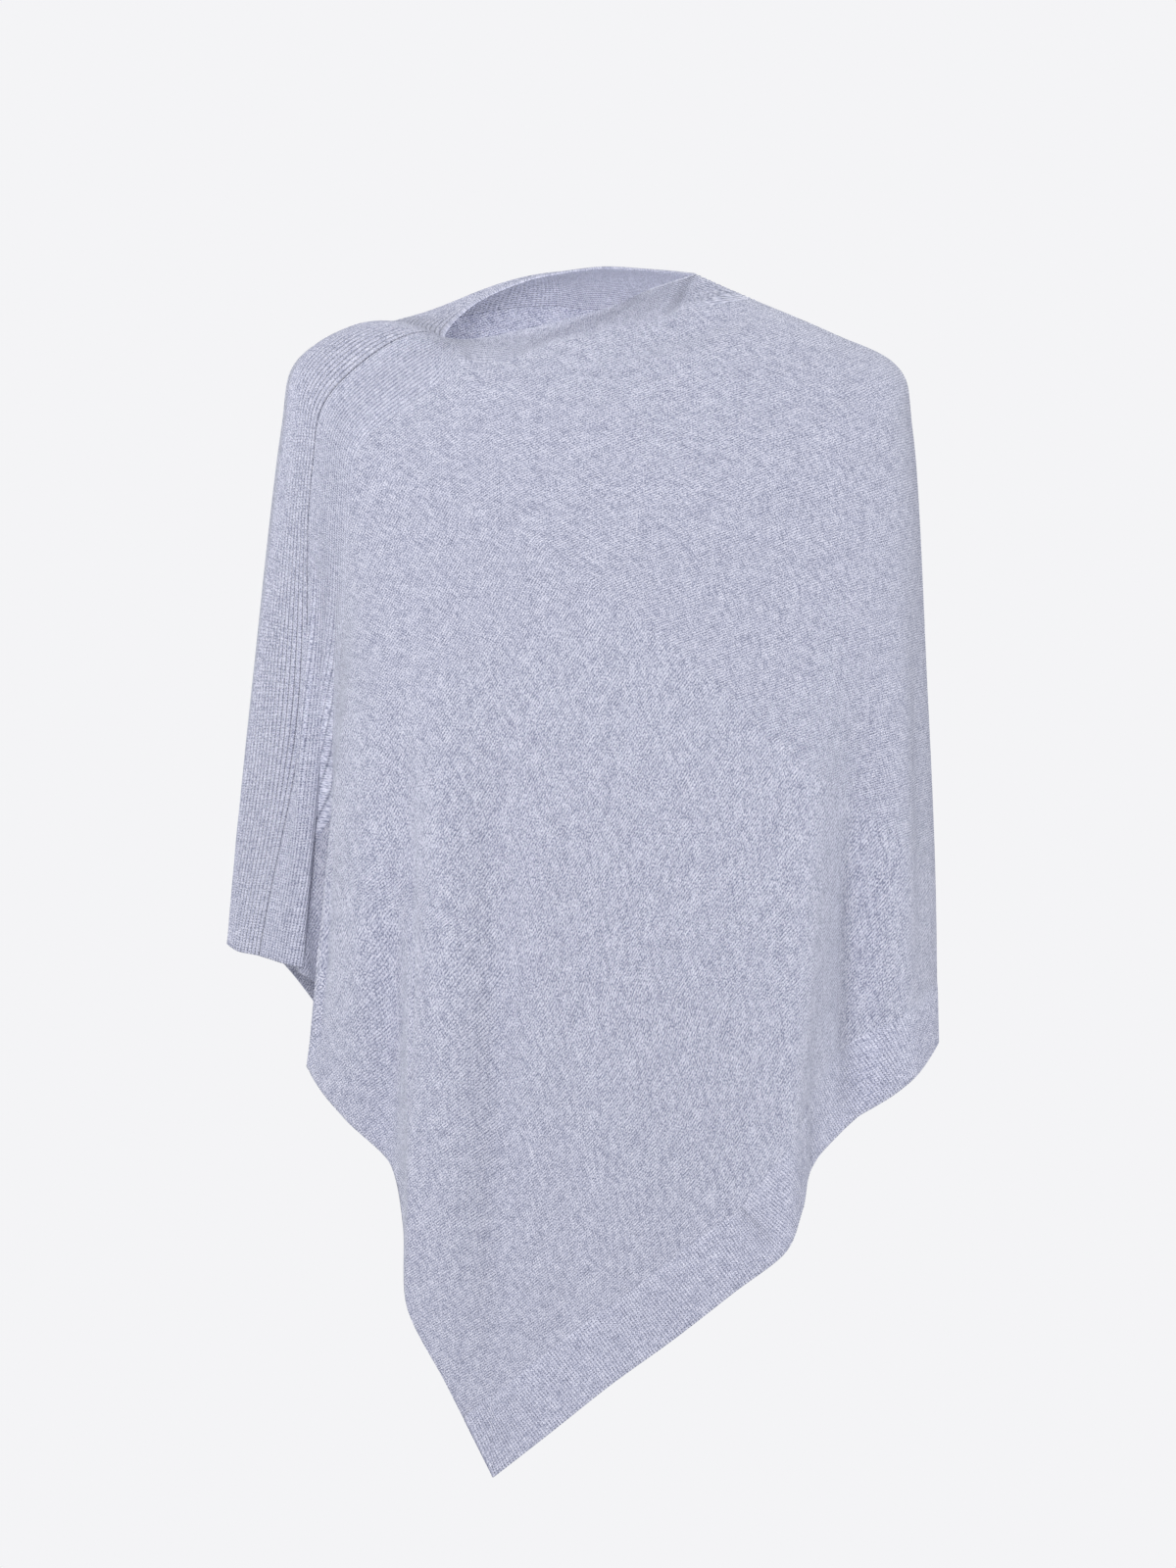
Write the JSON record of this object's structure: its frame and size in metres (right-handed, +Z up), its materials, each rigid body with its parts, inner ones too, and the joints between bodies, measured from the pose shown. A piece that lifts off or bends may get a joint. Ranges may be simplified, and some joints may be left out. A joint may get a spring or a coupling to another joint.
{
  "type": "knitted poncho sweater",
  "caption": "Asymmetric fine-knit poncho with an offset wide neck, a linked shoulder seam, ridged top bands and a ribbed hem, held in its worn, hollow form.",
  "frame": {"origin": "between the wearer's shoulders, level with the base of the neck, where the garment is held up", "axes": "+Z up, +X towards the wearer's left, the front faces -Y"},
  "size_m": [0.5304, 0.3008, 0.8936],
  "materials": {
    "panel_knit": "fine plain knit of pale blue-grey melange yarn, matt with a soft nap",
    "front_band_knit": "fine ridges of the same melange yarn, running along the seam and the neck edge",
    "back_band_knit": "coarser ridges of the same melange yarn, running along the seam and the neck edge",
    "hem_rib_knit": "fine rib of the same melange yarn, square to the hem"
  },
  "bodies": {
    "root": {"front_panel": "panel_knit", "front_top_band": "front_band_knit", "front_hem_band": "hem_rib_knit", "back_panel": "panel_knit", "back_top_band": "back_band_knit", "back_hem_band": "hem_rib_knit"}
  },
  "joints": []
}
